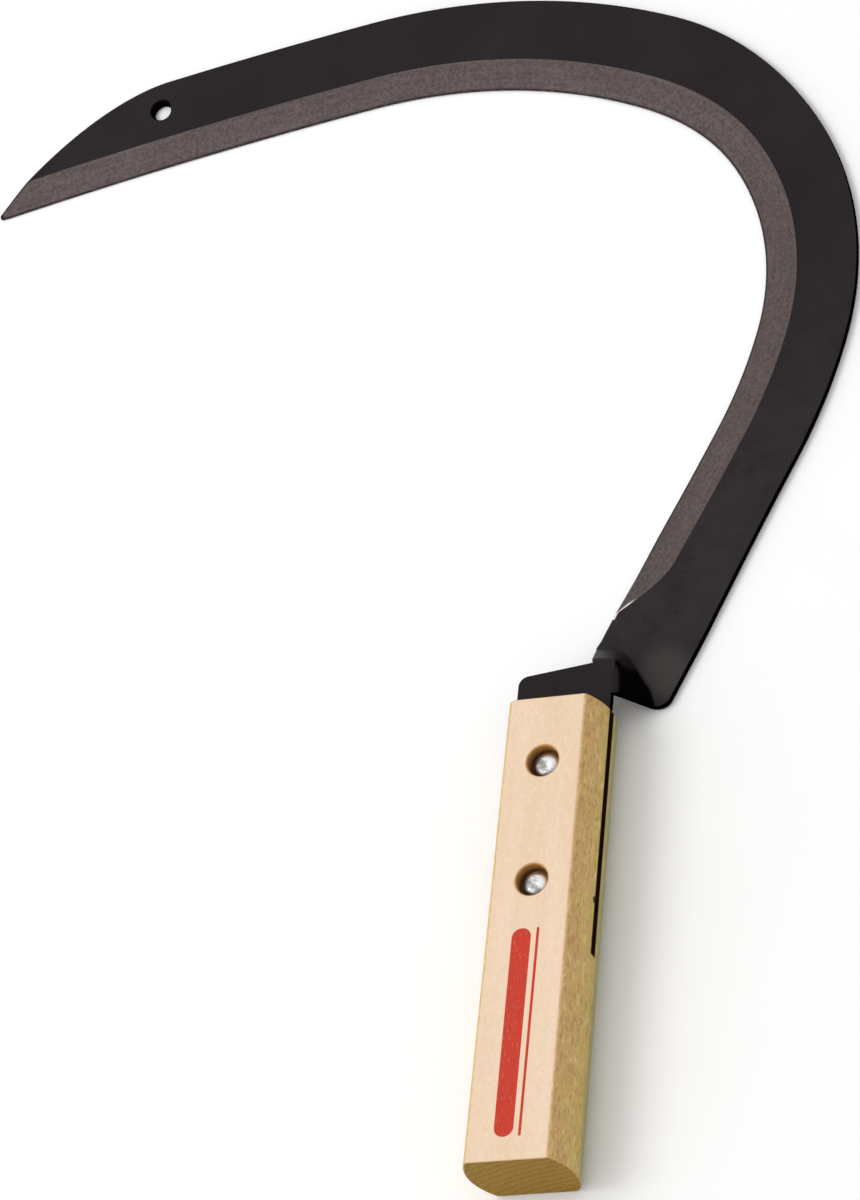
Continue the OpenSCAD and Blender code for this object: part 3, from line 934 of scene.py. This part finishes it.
def make_rivet(name, y, phase, steel):
    head_z, tail_z = HANDLE_DEPTH - BORE_DEPTH, BORE_DEPTH - BURR_T
    head = [(r, head_z + z) for r, z in dome(HEAD_R, HEAD_H)]
    tail = [(r, tail_z - z) for r, z in dome(TAIL_R, TAIL_H)]
    profile = head + [(SHANK_R, head_z), (SHANK_R, tail_z)] + tail[::-1]

    def hammered(a, r, z):
        """Flats left by the hammer: deeper on the formed tail than on the head."""
        if r <= SHANK_R and tail_z - 0.01 < z < head_z + 0.01:
            return 0.0, 0.0
        way, depth = (1, 0.05) if z > MID_Z else (-1, 0.11)
        fade = max(0.0, 1 - (r / HEAD_R) ** 4)
        dent = math.sin(2 * a + phase) * math.sin(1.9 * r + phase) + 0.5 * math.sin(5 * a - 2 * phase)
        return 0.03 * math.sin(3 * a + phase), -way * depth * fade * abs(dent) * min(1.0, r / 1.2)

    return lathe(name, profile, (0, y, 0), [steel], wobble=hammered)


def make_burr(name, y, phase, steel):
    low, high, hole = BORE_DEPTH - BURR_T, BORE_DEPTH, SHANK_R + 0.06
    soft, rim = 0.22, 0.06
    profile = [(hole, low + soft), (hole + soft, low), (BURR_R - soft, low),
               (BURR_R - rim, low + rim), (BURR_R, low + soft), (BURR_R, high - soft),
               (BURR_R - soft, high), (hole + soft, high), (hole, high - soft)]

    def rough_cut(a, r, z):
        """A slightly uneven rim, nowhere wider than the burr."""
        uneven = 0.025
        return (uneven * (math.sin(4 * a + phase) - 1) if r > (hole + BURR_R) / 2 else 0.0), 0.0

    return lathe(name, profile, (0, y, 0), [steel], wobble=rough_cut)


# ---------------------------------------------------------------- assembly
enamel, ground, wood = enamel_material(), ground_material(), wood_material()
head_steel = steel_material("rivet_steel", (0.86, 0.86, 0.86), 0.34, 0.45)
burr_steel = steel_material("burr_steel", (0.60, 0.59, 0.58), 0.36, 0.15)

pieces = [(make_blade(enamel, ground), "blade", "blade_steel"),
          (make_handle(wood), "handle", "wood")]
for phase, (place, y) in enumerate(RIVETS.items()):
    pieces.append((make_rivet(f"{place}_rivet_steel", y, phase * 1.7, head_steel),
                   f"{place}_rivet", "rivet_steel"))
    pieces.append((make_burr(f"{place}_burr_steel", y, phase * 2.3, burr_steel),
                   f"{place}_burr", "burr_steel"))
for piece, node, slot in pieces:
    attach(piece, "root")
    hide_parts(node)

# ---------------------------------------------------------------- floor, light and camera
floor_n = Nodes("studio_floor")
paper = floor_n.noise(floor_n.per_mm(0.02, 0.02, 0.02), 3.0, 0.5)
floor_colour = floor_n.mix(paper, (0.90, 0.90, 0.90), (0.93, 0.93, 0.93))
floor_material = floor_n.finish(color=floor_colour, rough=0.9, specular=0.1)
FLOOR_HALF, FLOOR_Z = 6000.0, -0.25
corners = ((-1, -1), (1, -1), (1, 1), (-1, 1))
floor_verts = [(x * FLOOR_HALF, y * FLOOR_HALF, FLOOR_Z) for x, y in corners]
floor = make_object("studio_floor", floor_verts, [(0, 1, 2, 3)], [floor_material])
floor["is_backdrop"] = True

# a soft white sky, brighter towards the upper left: how its strength follows the direction
SKY_TOWARDS = Vector((-0.62, 0.25, 0.74)).normalized()
SKY_LEVEL = {"From Min": -0.45, "From Max": 0.75, "To Min": 0.44, "To Max": 0.98}
world = bpy.data.worlds.new("studio")
world.use_nodes = True
sky = world.node_tree
towards = sky.nodes.new("ShaderNodeTexCoord")
lean = sky.nodes.new("ShaderNodeVectorMath")
lean.operation = "DOT_PRODUCT"
lean.inputs[1].default_value = SKY_TOWARDS
level = sky.nodes.new("ShaderNodeMapRange")
level.interpolation_type = "SMOOTHSTEP"
for socket, value in SKY_LEVEL.items():
    level.inputs[socket].default_value = value
sky.links.new(towards.outputs["Generated"], lean.inputs[0])
sky.links.new(lean.outputs["Value"], level.inputs["Value"])
sky.links.new(level.outputs[0], sky.nodes["Background"].inputs[1])
WHITE = (1.0, 1.0, 1.0, 1.0)
sky.nodes["Background"].inputs[0].default_value = WHITE
bpy.context.scene.world = world

# one wide soft lamp, aimed at the middle of the sickle; lengths are in metres
KEY_FROM, KEY_WIDTH, KEY_WATTS = Vector((-1.1, -0.1, 1.7)), 1.1, 14
low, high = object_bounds()
key_data = bpy.data.lights.new("key", "AREA")
key_data.shape = "DISK"
key_data.size = KEY_WIDTH
key_data.energy = KEY_WATTS
key = bpy.data.objects.new("key", key_data)
bpy.context.scene.collection.objects.link(key)
key.location = (low + high) / 2 + KEY_FROM
key.rotation_mode = "QUATERNION"
key.rotation_quaternion = KEY_FROM.to_track_quat("Z", "Y")

# the camera's place in millimetres, and the directions of its right and of its back
CAMERA_AT = Vector((586.0, -658.4, 1361.6))
CAMERA_RIGHT = Vector((0.9204, 0.0924, -0.3800))
CAMERA_BACK = Vector((0.3775, -0.4637, 0.8015))
camera_data = bpy.data.cameras.new("camera")
camera_data.type = "PERSP"
camera_data.sensor_width = 36.0
camera_data.lens = 160.8
camera_data.clip_start, camera_data.clip_end = 0.05, 50.0
camera = bpy.data.objects.new("camera", camera_data)
bpy.context.scene.collection.objects.link(camera)
right, back = CAMERA_RIGHT.normalized(), CAMERA_BACK.normalized()
up = back.cross(right).normalized()
turn = Matrix((right, up, back)).transposed()
camera.matrix_world = Matrix.Translation(CAMERA_AT * MM) @ turn.to_4x4()
bpy.context.scene.camera = camera
bpy.context.scene.view_settings.view_transform = "Standard"
bpy.context.scene.view_settings.look = "None"
